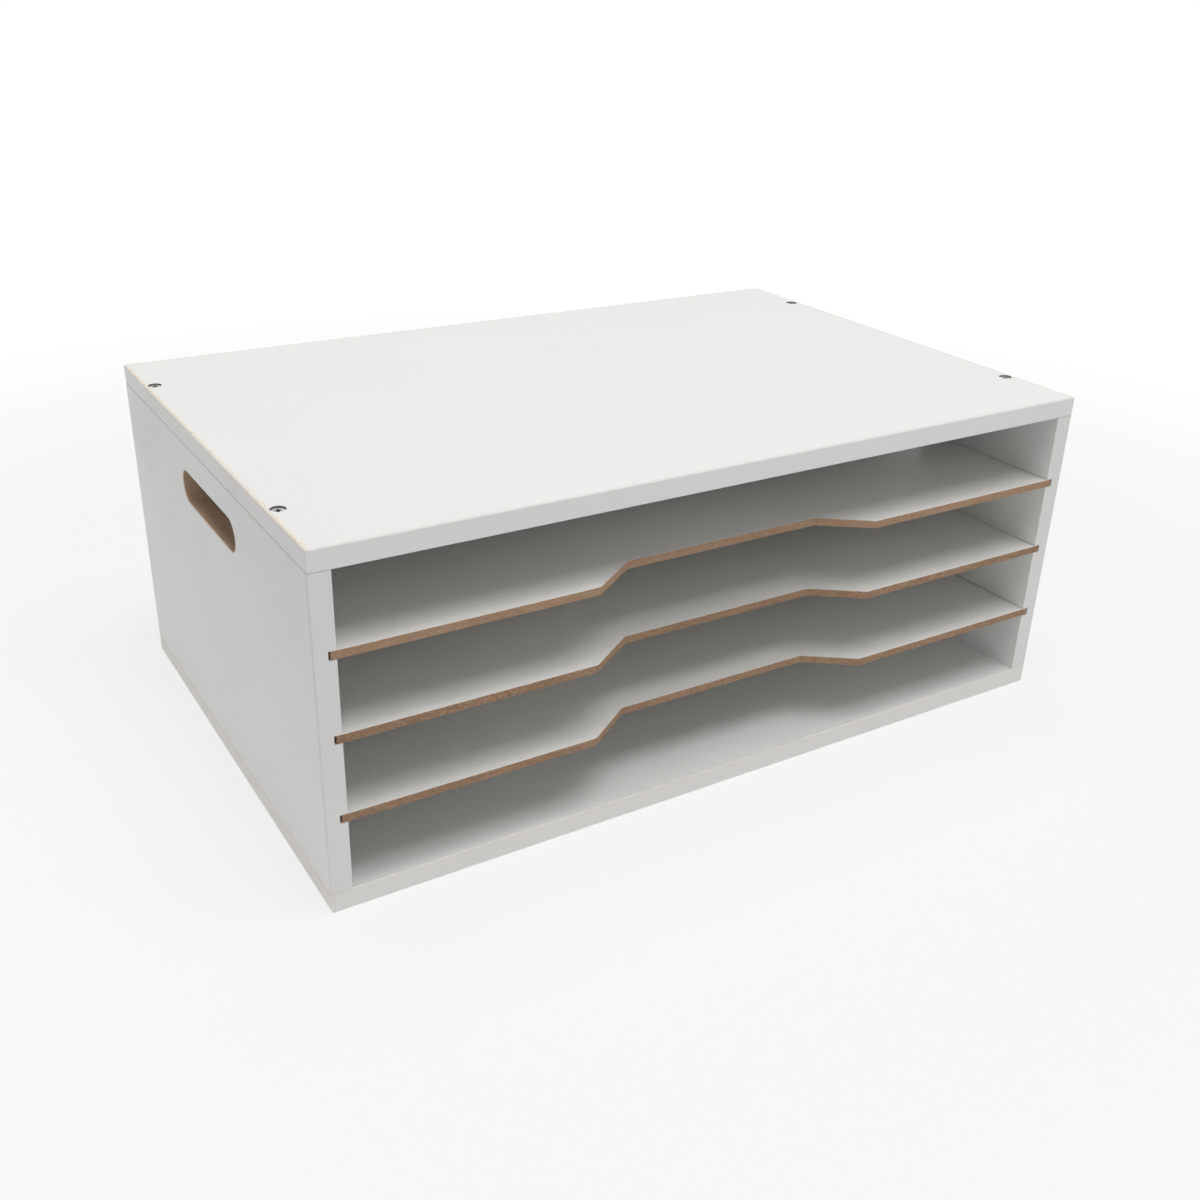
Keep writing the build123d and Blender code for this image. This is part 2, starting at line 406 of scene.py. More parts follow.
def laminate(name, white, box=None, grazed=()):
    """White melamine: faint clouding, a satin gloss and a fine pearl relief. An edge trimmer has
    grazed it cream along the sides of its box that grazed lists, as (axis, side, share)."""
    scene = bpy.context.scene
    material, tree, shader, place, _ = new_finish(name)
    tone = mottled(tree, place, 90 * MM, scaled(white, 0.985), white, *SPREAD)
    tone = dusted(tree, place, 2.2 * MM, tone, 0.012)
    ragged = ramp(tree, noise(tree, place, 9 * MM, 5, 0.65), *SPREAD, -0.4, 0.4)
    for axis, side, share in grazed:
        distance = gap(tree, part_of(tree, place, axis), box[side][axis])
        reach = calc(tree, "DIVIDE", distance, scene.organizer_boards.graze)
        stain = ramp(tree, calc(tree, "ADD", reach, ragged), 0.0, 1.0, share, 0.0)
        tone = blend(tree, stain, tone, tuple(scene.organizer_edging.cream))
    feed(tree, shader.inputs["Base Color"], tone)
    handled = noise(tree, place, 45 * MM, 4, 0.6)
    feed(tree, shader.inputs["Roughness"], ramp(tree, handled, 0.3, 0.75, 0.30, 0.40))
    pearl = calc(tree, "MULTIPLY", noise(tree, place, 0.9 * MM, 2, 0.55), 0.25)
    bump(tree, shader, calc(tree, "ADD", pearl, noise(tree, place, 14 * MM, 1)), 0.02 * MM, 0.6)
    return material


def raw_fibreboard(name, thickness_axis, darkness=SAWN_DARKNESS, routed_painted_light=False):
    """Sawn edge of fibreboard: flat fibres, dark flecks and warmer patches. On a side panel the router
    has left it smoother and paler, the paler tone partly painted light, and at the joints its outermost
    part is the laminate's pale edge."""
    boards = bpy.context.scene.organizer_boards
    material, tree, shader, place, _ = new_finish(name)
    squeeze = [1.0, 1.0, 1.0]
    squeeze[thickness_axis] = 2.5
    flat = stretched(tree, place, squeeze)
    fibre = noise(tree, flat, 2.4 * MM, 6, 0.72, 0.4)
    base = tuple(boards.routed_painted_light if routed_painted_light else boards.raw)
    tone = mottled(tree, flat, 11 * MM, base, scaled(base, 0.93) if routed_painted_light else tuple(boards.raw_warm))
    tone = blend(tree, ramp(tree, fibre, 0.36, 0.62, darkness, 0.0), tone, tuple(boards.raw_dark))
    shade = ramp(tree, noise(tree, flat, 26 * MM, 2), 0.35, 0.7, 0.0, 0.4 * darkness)
    tone = blend(tree, shade, tone, tuple(boards.raw_dark))
    if routed_painted_light:
        outward = calc(tree, "ABSOLUTE", part_of(tree, place, thickness_axis))
        inward = calc(tree, "SUBTRACT", cad_box[1].x, outward)
        share = ramp(tree, inward, 0.8 * boards.skin_depth, boards.skin_depth, 1.0, 0.0)
        low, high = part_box(SIDE_PANELS[0])
        half = (high.z - low.z) / 2
        from_middle = gap(tree, part_of(tree, place, Z), low.z + half)
        at_joint = ramp(tree, from_middle, half - 4 * MM, half - 2 * MM)
        tone = blend(tree, calc(tree, "MULTIPLY", share, at_joint), tone, tuple(boards.skin))
    feed(tree, shader.inputs["Base Color"], tone)
    shader.inputs["Roughness"].default_value = 0.85
    shader.inputs["Specular IOR Level"].default_value = 0.25
    bump(tree, shader, calc(tree, "ADD", fibre, noise(tree, flat, 0.5 * MM, 2)), 0.12 * MM, 0.6)
    return material


def bored_fibre(name):
    """Wall of a counterbore: fibre drawn dark and grey, which is painted shade in the recess."""
    boards = bpy.context.scene.organizer_boards
    material, tree, shader, place, _ = new_finish(name)
    tone = mottled(tree, place, 1.2 * MM, tuple(boards.shaded_bore_wall), scaled(boards.shaded_bore_wall, 0.72))
    feed(tree, shader.inputs["Base Color"], tone)
    shader.inputs["Roughness"].default_value = 0.6
    bump(tree, shader, noise(tree, stretched(tree, place, (1, 1, 6)), 1 * MM, 4), 0.06 * MM, 0.6)
    return material


def paper_arris(name, worn_from=0.54, worn_to=0.74):
    """Eased edge of the laminate: cream paper, worn through to the fibre in places."""
    boards = bpy.context.scene.organizer_boards
    material, tree, shader, place, _ = new_finish(name)
    worn = noise(tree, place, 3.5 * MM, 5, 0.7)
    tone = blend(tree, ramp(tree, worn, worn_from, worn_to), tuple(boards.arris), tuple(boards.raw))
    feed(tree, shader.inputs["Base Color"], tone)
    shader.inputs["Roughness"].default_value = 0.6
    bump(tree, shader, worn, 0.05 * MM, 0.5)
    return material


def edging_strip(name, node, outward_axis, outward, thickness_axis, cream_share, face_cream):
    """White strip whose trimmed edges turn cream away from its outer face, with a few chips. The
    strips of the side panels are drawn a little darker as painted shade. face_cream is the cream of the
    outer face."""
    edging = bpy.context.scene.organizer_edging
    # The side panels' strips take a darker copy of the white: painted shade.
    white = scaled(edging.white, 1.0 if thickness_axis == Z else edging.side_strip_shade)
    low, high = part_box(node)
    outer = high[outward_axis] if outward > 0 else low[outward_axis]
    thickness = high[outward_axis] - low[outward_axis]
    roof = high[thickness_axis]
    material, tree, shader, place, normal = new_finish(name)
    depth = gap(tree, part_of(tree, place, outward_axis), outer)
    ragged = noise(tree, place, 4 * MM, 5, 0.65)
    depth = calc(tree, "ADD", depth, ramp(tree, ragged, *SPREAD, -0.28 * MM, 0.28 * MM))
    side_on = calc(tree, "ABSOLUTE", part_of(tree, normal, thickness_axis))
    # Painted light: the trimmed edge's cream and its grey are drawn at full strength where the edge
    # faces up towards the lamps, falling to 0.3 where it faces down.
    painted_light_up = ramp(tree, part_of(tree, normal, Z), -0.3, 0.1, 0.3, 1.0)
    trimmed = calc(tree, "MULTIPLY", ramp(tree, depth, 0.0, edging.fade), ramp(tree, side_on, 0.2, 0.6))
    bared_painted_lit = calc(tree, "MULTIPLY", trimmed, painted_light_up)
    core = mottled(tree, place, 7 * MM, tuple(edging.cream), tuple(edging.peach))
    tone = mottled(tree, place, 60 * MM, white, scaled(white, 0.985), *SPREAD)
    tone = blend(tree, bared_painted_lit, tone, scaled(white, 0.93))
    drop = calc(tree, "SUBTRACT", roof, part_of(tree, place, thickness_axis))
    upper, lower, spread = face_cream
    blush = ramp(tree, drop, 0.0, spread * edging.blush, upper, lower)
    cream = calc(tree, "MULTIPLY", calc(tree, "MAXIMUM", bared_painted_lit, blush), cream_share)
    tone = blend(tree, cream, tone, core)
    seam = ramp(tree, depth, thickness - 0.16 * MM, thickness - 0.06 * MM, 0.0, 0.4)
    tone = blend(tree, seam, tone, tuple(edging.glue))
    chipped = ramp(tree, noise(tree, place, 5 * MM, 2, 0.4), 0.70, 0.73, 0.0, cream_share ** 2)
    chipped = calc(tree, "MULTIPLY", chipped, ramp(tree, side_on, 0.1, 0.3))
    tone = blend(tree, chipped, tone, tuple(edging.chip))
    feed(tree, shader.inputs["Base Color"], tone)
    handled = ramp(tree, noise(tree, place, 30 * MM, 4, 0.6), *SPREAD, 0.34, 0.42)
    rough = calc(tree, "ADD", handled, calc(tree, "MULTIPLY", trimmed, 0.25))
    feed(tree, shader.inputs["Roughness"], rough)
    relief = calc(tree, "ADD", noise(tree, place, 1.1 * MM, 2), calc(tree, "MULTIPLY", ragged, trimmed))
    bump(tree, shader, relief, 0.02 * MM, 0.6)
    return material


def zinc_plate(name, zinc):
    """Zinc-plated steel: bright, with fine scratches and dull blots."""
    material, tree, shader, place, _ = new_finish(name)
    blot = noise(tree, place, 1.6 * MM, 4, 0.6)
    tone = mottled(tree, place, 1.6 * MM, tuple(zinc), scaled(zinc, 0.84), 0.35, 0.75)
    feed(tree, shader.inputs["Base Color"], tone)
    shader.inputs["Metallic"].default_value = 1.0
    feed(tree, shader.inputs["Roughness"], ramp(tree, blot, *SPREAD, 0.34, 0.46))
    bump(tree, shader, noise(tree, stretched(tree, place, (1, 4, 1)), 0.25 * MM, 3), 0.01 * MM, 0.5)
    return material


def beech(name):
    """Beech: pale pinkish wood with short dark flecks along the grain."""
    dowels = bpy.context.scene.organizer_dowels
    material, tree, shader, place, _ = new_finish(name)
    along = stretched(tree, place, (1, 1, 0.12))
    grain = noise(tree, along, 0.8 * MM, 4, 0.6)
    fleck = noise(tree, stretched(tree, place, (1, 1, 0.3)), 0.35 * MM, 2)
    tone = blend(tree, ramp(tree, grain, 0.35, 0.7, 0, 0.4), tuple(dowels.beech), tuple(dowels.fleck))
    tone = blend(tree, ramp(tree, fleck, 0.62, 0.72, 0, 0.6), tone, tuple(dowels.fleck))
    feed(tree, shader.inputs["Base Color"], tone)
    shader.inputs["Roughness"].default_value = 0.6
    bump(tree, shader, calc(tree, "ADD", grain, fleck), 0.03 * MM, 0.6)
    return material


def new_piece(name, mesh, body, replaced):
    """Adds a finished piece that rides on a body and stands for the nodes that it replaces."""
    piece = bpy.data.objects.new(name, mesh)
    bpy.context.scene.collection.objects.link(piece)
    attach(piece, body)
    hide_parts(*replaced)


def on_outline(edge, low, high, thickness_axis):
    """Whether an edge lies on the outline of a board, where a strip or another board meets it."""
    for axis in range(3):
        if axis == thickness_axis:
            continue
        for limit in (low[axis], high[axis]):
            if all(abs(vertex.co[axis] - limit) < TOUCH for vertex in edge.verts):
                return True
    return False


def in_bore(place, bores, radius):
    """Whether a point is on the wall of one of the upright bores, given by their plan positions."""
    return any(math.hypot(place.x - x, place.y - y) < radius + BORE_MARGIN for x, y in bores)


def dressed_board(
    node, thickness_axis, finishes, name, body, ease_outline=False, bores=(), bore_radius=0.0,
):
    """Adds a board in its own shape with its cut edges eased. Its finishes are for the laminate, the
    raw edges, the eased edges and the walls of its bores."""
    easing = bpy.context.scene.organizer_boards.easing
    low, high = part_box(node)
    shape = bmesh.new()
    shape.from_mesh(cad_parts[node].data)
    bmesh.ops.remove_doubles(shape, verts=shape.verts, dist=BOARD_WELD)
    bmesh.ops.dissolve_limit(shape, angle_limit=FLAT_ANGLE, verts=shape.verts, edges=shape.edges)
    edges = [
        edge for edge in shape.edges
        if edge.is_manifold and edge.calc_face_angle() > CUT_ANGLE
        and (ease_outline or not on_outline(edge, low, high, thickness_axis))
        and any(
            abs(vertex.co[thickness_axis] - limit) < TOUCH
            for vertex in edge.verts for limit in (low[thickness_axis], high[thickness_axis])
        )
    ]
    bmesh.ops.bevel(
        shape, geom=edges, offset=easing, offset_type="OFFSET", segments=1, profile=0.5,
        affect="EDGES", clamp_overlap=True,
    )
    for face in shape.faces:
        tilt = abs(face.normal[thickness_axis])
        middle = face.calc_center_median()
        to_faces = [abs(middle[thickness_axis] - corner[thickness_axis]) for corner in (low, high)]
        if tilt > SQUARE_ON and min(to_faces) < TOUCH:
            face.material_index = LAMINATE
        # Faces on a counterbore's wall take its darker finish, which is painted shade.
        elif in_bore(middle, bores, bore_radius):
            face.material_index = SHADED_BORE
        else:
            face.material_index = EASED if EDGE_ON < tilt < SQUARE_ON else RAW
        face.smooth = True
    mesh = bpy.data.meshes.new(name)
    shape.to_mesh(mesh)
    shape.free()
    if mesh.has_custom_normals:
        # These are still the loose triangles' own, which don't fit the eased shape.
        mesh.attributes.remove(mesh.attributes["custom_normal"])
    mesh.set_sharp_from_angle(angle=BOARD_CRISP)
    for finish in finishes:
        mesh.materials.append(finish)
    new_piece(name, mesh, body, [node])


class ORGANIZER_OT_panels(bpy.types.Operator):
    """Dress the top, bottom and side boards"""

    bl_idname = "organizer.panels"
    bl_label = "Dress the panels"

    def execute(self, context):
        white = tuple(context.scene.organizer_boards.white)
        arris = paper_arris("laminate_arris")
        # The counterbores' walls get a finish of painted shade.
        shaded_bore_wall = bored_fibre("bored_fibre")
        head_radius = context.scene.organizer_screws.head_diameter / 2
        for axis, nodes, grazed in ((Z, FLAT_PANELS, FLAT_GRAZES), (X, SIDE_PANELS, SIDE_GRAZES)):
            routed_painted_light = nodes == SIDE_PANELS
            darkness = ROUTED_PAINTED_LIGHT_DARKNESS if routed_painted_light else SAWN_DARKNESS
            raw = raw_fibreboard(f"raw_fibre_{'xyz'[axis]}", axis, darkness, routed_painted_light)
            for node in nodes:
                face = laminate(f"laminate_{node}", white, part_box(node), grazed)
                screws = f"{node.split('_')[0]}_screws"
                bores = axis_places(screws, head_radius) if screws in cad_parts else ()
                dressed_board(
                    node, axis, (face, raw, arris, shaded_bore_wall), f"{node}_dressed", CARCASS,
                    bores=bores, bore_radius=head_radius,
                )
        return {"FINISHED"}


class ORGANIZER_OT_back(bpy.types.Operator):
    """Dress the thin back panel"""

    bl_idname = "organizer.back"
    bl_label = "Dress the back"

    def execute(self, context):
        white = laminate("thin_white_laminate", tuple(context.scene.organizer_boards.thin_white))
        finishes = (white, raw_fibreboard("raw_fibre_back", Y), paper_arris("back_arris"))
        dressed_board(
            "back_panel", Y, finishes, "back_panel_dressed", CARCASS,
            ease_outline=True,
        )
        return {"FINISHED"}


class ORGANIZER_OT_shelves(bpy.types.Operator):
    """Dress the three shelves"""

    bl_idname = "organizer.shelves"
    bl_label = "Dress the shelves"

    def execute(self, context):
        white = bpy.data.materials["thin_white_laminate"]
        arris = paper_arris("shelf_arris", 0.3, 0.5)
        for level, darkness in SHELVES.items():
            raw = raw_fibreboard(f"raw_fibre_{level}", Z, darkness)
            dressed_board(
                f"shelf_{level}", Z, (white, raw, arris), f"shelf_{level}_dressed",
                f"{level}_shelf", ease_outline=True,
            )
        return {"FINISHED"}


class ORGANIZER_OT_edging(bpy.types.Operator):
    """Finish the edging strips"""

    bl_idname = "organizer.edging"
    bl_label = "Finish the edging"

    def execute(self, context):
        for prefix, face_cream in FACE_CREAM.items():
            thickness_axis = X if prefix.endswith("side") else Z
            for place, (axis, way, cream) in EDGES.items():
                node = f"{prefix}_band_{place}"
                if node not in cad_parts:
                    continue
                finish = edging_strip(
                    f"strip_{node}", node, axis, way, thickness_axis, cream, face_cream,
                )
                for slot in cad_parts[node].material_slots:
                    slot.material = finish
        return {"FINISHED"}


def new_tree(name, inputs):
    """A geometry tree with named inputs. Gives the tree, what its inputs hold and its output node."""
    tree = bpy.data.node_groups.new(name, "GeometryNodeTree")
    tree.interface.new_socket("Geometry", in_out="INPUT", socket_type="NodeSocketGeometry")
    for label, kind in inputs:
        tree.interface.new_socket(label, in_out="INPUT", socket_type=kind)
    tree.interface.new_socket("Geometry", in_out="OUTPUT", socket_type="NodeSocketGeometry")
    given = add_node(tree, "NodeGroupInput").outputs
    return tree, given, add_node(tree, "NodeGroupOutput")


def turned_surface(tree, around, rows, radius_and_height):
    """A closed surface turned about Z. radius_and_height gives both from the turn, 0 to 1, and the
    number of the row, which counts from the top down."""
    grid = add_node(tree, "GeometryNodeMeshGrid", {
        "Size X": 1.0, "Size Y": 1.0, "Vertices X": around + 1, "Vertices Y": rows,
    })
    position = add_node(tree, "GeometryNodeInputPosition").outputs[0]
    turn = calc(tree, "ADD", part_of(tree, position, X), 0.5)
    down = calc(tree, "ADD", part_of(tree, position, Y), 0.5)
    row = calc(tree, "ROUND", calc(tree, "MULTIPLY", down, rows - 1))
    radius, height = radius_and_height(turn, row)
    angle = calc(tree, "MULTIPLY", turn, math.tau)
    place = add_node(tree, "ShaderNodeCombineXYZ", {
        X: calc(tree, "MULTIPLY", radius, calc(tree, "COSINE", angle)),
        Y: calc(tree, "MULTIPLY", radius, calc(tree, "SINE", angle)),
        Z: height,
    })
    bent = add_node(tree, "GeometryNodeSetPosition", {
        "Geometry": grid.outputs[0], "Position": place.outputs[0],
    })
    outward = add_node(tree, "GeometryNodeFlipFaces", {"Mesh": bent.outputs[0]})
    return add_node(tree, "GeometryNodeMergeByDistance", {
        "Geometry": outward.outputs[0], "Distance": TURNED_WELD,
    }).outputs[0]


def pick(tree, number, values):
    """The value in a list that a row number names; the last one holds for all later rows."""
    switch = add_node(tree, "GeometryNodeIndexSwitch", data_type="FLOAT")
    while len(switch.index_switch_items) < len(values):
        switch.index_switch_items.new()
    feed(tree, switch.inputs["Index"], calc(tree, "MINIMUM", number, len(values) - 1))
    for place, value in enumerate(values):
        feed(tree, switch.inputs[place + 1], value)
    return switch.outputs[0]


def on_points(tree, given, shape, output, seed, inner=False):
    """Puts a shape on every given point with a random turn, and ends the tree in plain, smooth mesh.
    With inner, the faces marked as inner get a dark finish of their own: painted shade in the recess."""
    spin = add_node(tree, "FunctionNodeRandomValue", {
        "Min": (0, 0, 0), "Max": (0, 0, math.tau), "Seed": seed,
    }, data_type="FLOAT_VECTOR")
    lay = add_node(tree, "GeometryNodeInputNamedAttribute", {"Name": "lay"}, data_type="FLOAT_VECTOR")
    turned_over = add_node(tree, "FunctionNodeEulerToRotation", {0: lay.outputs[0]})
    spun = add_node(tree, "FunctionNodeEulerToRotation", {0: spin.outputs[0]})
    turn = add_node(tree, "FunctionNodeRotateRotation", {
        0: turned_over.outputs[0], 1: spun.outputs[0],
    }, rotation_space="LOCAL")
    copies = add_node(tree, "GeometryNodeInstanceOnPoints", {
        "Points": given["Geometry"], "Instance": shape, "Rotation": turn.outputs[0],
    })
    solid = add_node(tree, "GeometryNodeRealizeInstances", {0: copies.outputs[0]})
    fine = add_node(tree, "GeometryNodeSetMaterial", {
        "Geometry": solid.outputs[0], "Material": given["Finish"],
    })
    if inner:
        named = {"Name": "inner"}
        marked = add_node(tree, "GeometryNodeInputNamedAttribute", named, data_type="BOOLEAN")
        fine = add_node(tree, "GeometryNodeSetMaterial", {
            "Geometry": fine.outputs[0], "Selection": marked.outputs[0],
            "Material": given["Inner Finish"],
        })
    feed(tree, output.inputs[0], fine.outputs[0])


def smoothed(tree, shape, angle):
    """A shape shaded smooth, with edges sharper than angle kept crisp."""
    smooth = add_node(tree, "GeometryNodeSetShadeSmooth", {
        "Geometry": shape, "Shade Smooth": True,
    }, domain="FACE")
    fold = add_node(tree, "GeometryNodeInputMeshEdgeAngle").outputs[0]
    return add_node(tree, "GeometryNodeSetShadeSmooth", {
        "Geometry": smooth.outputs[0], "Selection": calc(tree, "GREATER_THAN", fold, angle),
        "Shade Smooth": False,
    }, domain="EDGE").outputs[0]


def recessed(tree, shape, tool):
    """A shape less a tool that is centred on its face and drawn in towards its foot. The faces
    that the tool leaves are marked as inner."""
    position = add_node(tree, "GeometryNodeInputPosition").outputs[0]
    height = part_of(tree, position, Z)
    narrow = ramp(tree, height, -RECESS_TAPER, 0.0, RECESS_FOOT, 1.0)
    tapered = add_node(tree, "ShaderNodeCombineXYZ", {
        X: calc(tree, "MULTIPLY", part_of(tree, position, X), narrow),
        Y: calc(tree, "MULTIPLY", part_of(tree, position, Y), narrow),
        Z: height,
    })
    moved = add_node(tree, "GeometryNodeSetPosition", {
        "Geometry": tool.outputs[0], "Position": tapered.outputs[0],
    })
    marked = add_node(tree, "GeometryNodeStoreNamedAttribute", {
        "Geometry": moved.outputs[0], "Name": "inner", "Value": True,
    }, data_type="BOOLEAN", domain="FACE")
    return add_node(tree, "GeometryNodeMeshBoolean", {
        0: shape, 1: marked.outputs[0],
    }, operation="DIFFERENCE", solver="EXACT").outputs[0]


def screw_tree():
    """Flat-head wood screws with a thread and a cross recess, one on each point."""
    lengths = (
        "Head Radius", "Head Land", "Rim Rounding", "Thread Radius", "Core Radius", "Length",
        "Point Length", "Neck Length", "Pitch", "Recess Span", "Recess Arm", "Recess Core",
        "Recess Depth",
    )
    inputs = [(label, "NodeSocketFloat") for label in lengths]
    inputs += [(label, "NodeSocketMaterial") for label in ("Finish", "Inner Finish")]
    tree, given, output = new_tree("wood_screws", inputs)

    def radius_and_height(turn, row):
        cone = calc(tree, "SUBTRACT", given["Head Radius"], given["Core Radius"])
        cone_foot = negative(tree, calc(tree, "ADD", given["Head Land"], cone))
        rim = calc(tree, "SUBTRACT", given["Head Radius"], given["Rim Rounding"])
        # The flat face has two rings between its middle and its rim.
        head_radius = [
            0.0, calc(tree, "MULTIPLY", rim, 0.4), calc(tree, "MULTIPLY", rim, 0.75), rim,
            given["Head Radius"], given["Head Radius"], given["Core Radius"],
        ]
        head_height = [
            0.0, 0.0, 0.0, 0.0, negative(tree, given["Rim Rounding"]),
            negative(tree, given["Head Land"]), cone_foot,
        ]
        along = calc(tree, "DIVIDE", calc(tree, "SUBTRACT", row, HEAD_ROWS), SHANK_ROWS - 1)
        drop = calc(tree, "ADD", given["Length"], cone_foot)
        height = calc(tree, "SUBTRACT", cone_foot, calc(tree, "MULTIPLY", drop, along))
        to_point = calc(tree, "ADD", given["Length"], height)
        taper = calc(tree, "DIVIDE", to_point, given["Point Length"], clamp=True)
        turns = calc(tree, "DIVIDE", height, given["Pitch"])
        phase = calc(tree, "FRACT", calc(tree, "ADD", turns, turn))
        off_crest = calc(tree, "MULTIPLY", gap(tree, phase, 0.5), RIDGE_SLOPE)
        crest = calc(tree, "SUBTRACT", 1.0, off_crest, clamp=True)
        neck = given["Neck Length"]
        start = ramp(tree, negative(tree, height), calc(tree, "SUBTRACT", neck, THREAD_START), neck)
        depth = calc(tree, "SUBTRACT", given["Thread Radius"], given["Core Radius"])
        ridge = calc(tree, "MULTIPLY", calc(tree, "MULTIPLY", depth, crest), start)
        radius = calc(tree, "MULTIPLY", calc(tree, "ADD", given["Core Radius"], ridge), taper)
        in_shank = calc(tree, "GREATER_THAN", row, HEAD_ROWS - 0.5)

        def either(head, shank):
            # A Mix node takes two plain values in sockets 2 and 3.
            parts = {0: in_shank, 2: pick(tree, row, head), 3: shank}
            return add_node(tree, "ShaderNodeMix", parts, data_type="FLOAT").outputs[0]

        return either(head_radius, radius), either(head_height, height)

    shape = turned_surface(tree, SCREW_SIDES, HEAD_ROWS + SHANK_ROWS, radius_and_height)
    tall = calc(tree, "MULTIPLY", given["Recess Depth"], 2)
    span, arm = given["Recess Span"], given["Recess Arm"]
    for width, depth in ((span, arm), (arm, span)):
        size = add_node(tree, "ShaderNodeCombineXYZ", {X: width, Y: depth, Z: tall})
        shape = recessed(tree, shape, add_node(tree, "GeometryNodeMeshCube", {"Size": size.outputs[0]}))
    core = calc(tree, "MULTIPLY", given["Recess Core"], 0.5)
    pocket = add_node(tree, "GeometryNodeMeshCylinder", {
        "Vertices": POCKET_SIDES, "Radius": core, "Depth": tall,
    })
    shape = recessed(tree, shape, pocket)
    on_points(tree, given, smoothed(tree, shape, SCREW_CRISP), output, seed=7, inner=True)
    return tree


def dowel_tree():
    """Fluted dowels that stand on end, one on each point, centred on it."""
    labels = ("Radius", "Length", "Chamfer", "Flute Depth", "Flutes")
    inputs = [(label, "NodeSocketFloat") for label in labels]
    tree, given, output = new_tree("fluted_dowels", inputs + [("Finish", "NodeSocketMaterial")])

    def radius_and_height(turn, row):
        half = calc(tree, "MULTIPLY", given["Length"], 0.5)
        flute = calc(tree, "MULTIPLY", calc(tree, "MULTIPLY", turn, given["Flutes"]), math.tau)
        wave = calc(tree, "MAXIMUM", calc(tree, "COSINE", flute), 0.0)
        dip = calc(tree, "MULTIPLY", calc(tree, "POWER", wave, FLUTE_POWER), given["Flute Depth"])
        full = calc(tree, "SUBTRACT", given["Radius"], dip)
        end = calc(tree, "SUBTRACT", given["Radius"], given["Chamfer"])
        low = calc(tree, "SUBTRACT", half, given["Chamfer"])
        radii = [0.0, end, full, full, full, full, end, 0.0]
        upper = [half, half, low, calc(tree, "MULTIPLY", low, 0.3)]
        heights = upper + [negative(tree, height) for height in reversed(upper)]
        return pick(tree, row, radii), pick(tree, row, heights)

    shape = turned_surface(tree, DOWEL_SIDES, DOWEL_ROWS, radius_and_height)
    on_points(tree, given, smoothed(tree, shape, DOWEL_CRISP), output, seed=3)
    return tree


def grown(name, tree, values, places, turned_over):
    """A plain mesh of what a tree grows on a list of points."""
    seeds = bpy.data.meshes.new(f"{name}_places")
    seeds.from_pydata(places, [], [])
    lay = seeds.attributes.new("lay", "FLOAT_VECTOR", "POINT")
    for item in lay.data:
        item.vector = (math.pi if turned_over else 0, 0, 0)
    holder = bpy.data.objects.new(f"{name}_places", seeds)
    bpy.context.scene.collection.objects.link(holder)
    modifier = holder.modifiers.new("Grow", "NODES")
    modifier.node_group = tree
    for socket in tree.interface.items_tree:
        if socket.in_out == "INPUT" and socket.name in values:
            modifier[socket.identifier] = values[socket.name]
    bpy.context.view_layer.update()
    seen = holder.evaluated_get(bpy.context.evaluated_depsgraph_get())
    mesh = bpy.data.meshes.new_from_object(seen)
    mesh.name = name
    holder.modifiers.remove(modifier)
    bpy.data.objects.remove(holder)
    if not mesh.polygons:
        raise RuntimeError(f"{name} came out empty")
    return mesh


def axis_places(node, radius):
    """Plan positions of four upright fasteners, from the outer corners of their node."""
    low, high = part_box(node)
    return [(x, y) for x in (low.x + radius, high.x - radius) for y in (low.y + radius, high.y - radius)]


class ORGANIZER_OT_screws(bpy.types.Operator):
    """Make the screws with their threads and recesses"""

    bl_idname = "organizer.screws"
    bl_label = "Make the screws"

    def execute(self, context):
        sizes = context.scene.organizer_screws
        tree = screw_tree()
        values = {
            "Head Radius": sizes.head_diameter / 2, "Head Land": sizes.head_land,
            "Rim Rounding": sizes.rim_rounding, "Thread Radius": sizes.thread_diameter / 2,
            "Core Radius": sizes.core_diameter / 2, "Length": sizes.length,
            "Point Length": sizes.point_length, "Neck Length": sizes.neck_length,
            "Pitch": sizes.pitch, "Recess Span": sizes.recess_span, "Recess Arm": sizes.recess_arm,
            "Recess Core": sizes.recess_core, "Recess Depth": sizes.recess_depth,
            "Finish": zinc_plate("zinc_plate", sizes.zinc),
            # The recess gets the plating drawn dark: painted shade inside the recess.
            "Inner Finish": zinc_plate("zinc_recess", sizes.recess_shade_zinc),
        }
        for level in LEVELS:
            node = f"{level}_screws"
            low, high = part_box(node)
            face = high.z if level == "top" else low.z
            places = [(x, y, face) for x, y in axis_places(node, sizes.head_diameter / 2)]
            mesh = grown(f"{node}_threaded", tree, values, places, level == "bottom")
            new_piece(f"{node}_threaded", mesh, CARCASS, [node])
        return {"FINISHED"}


class ORGANIZER_OT_dowels(bpy.types.Operator):
    """Make the fluted dowels"""

    bl_idname = "organizer.dowels"
    bl_label = "Make the dowels"

    def execute(self, context):
        sizes = context.scene.organizer_dowels
        tree = dowel_tree()
        values = {
            "Radius": sizes.diameter / 2, "Length": sizes.length, "Chamfer": sizes.chamfer,
            "Flute Depth": sizes.flute_depth, "Flutes": float(sizes.flutes), "Finish": beech("beech"),
        }
        for level in LEVELS:
            node = f"{level}_dowels"
            low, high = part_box(node)
            middle = (low.z + high.z) / 2
            places = [(x, y, middle) for x, y in axis_places(node, sizes.diameter / 2)]
            mesh = grown(f"{node}_fluted", tree, values, places, False)
            new_piece(f"{node}_fluted", mesh, CARCASS, [node])
        return {"FINISHED"}


def seen_directly(tree):
    """1 for the rays that show a background: the camera's own and those off gloss or through glass."""
    path = add_node(tree, "ShaderNodeLightPath")
    shown = calc(tree, "MAXIMUM", path.outputs["Is Camera Ray"], path.outputs["Is Glossy Ray"])
    return calc(tree, "MAXIMUM", shown, path.outputs["Is Transmission Ray"])


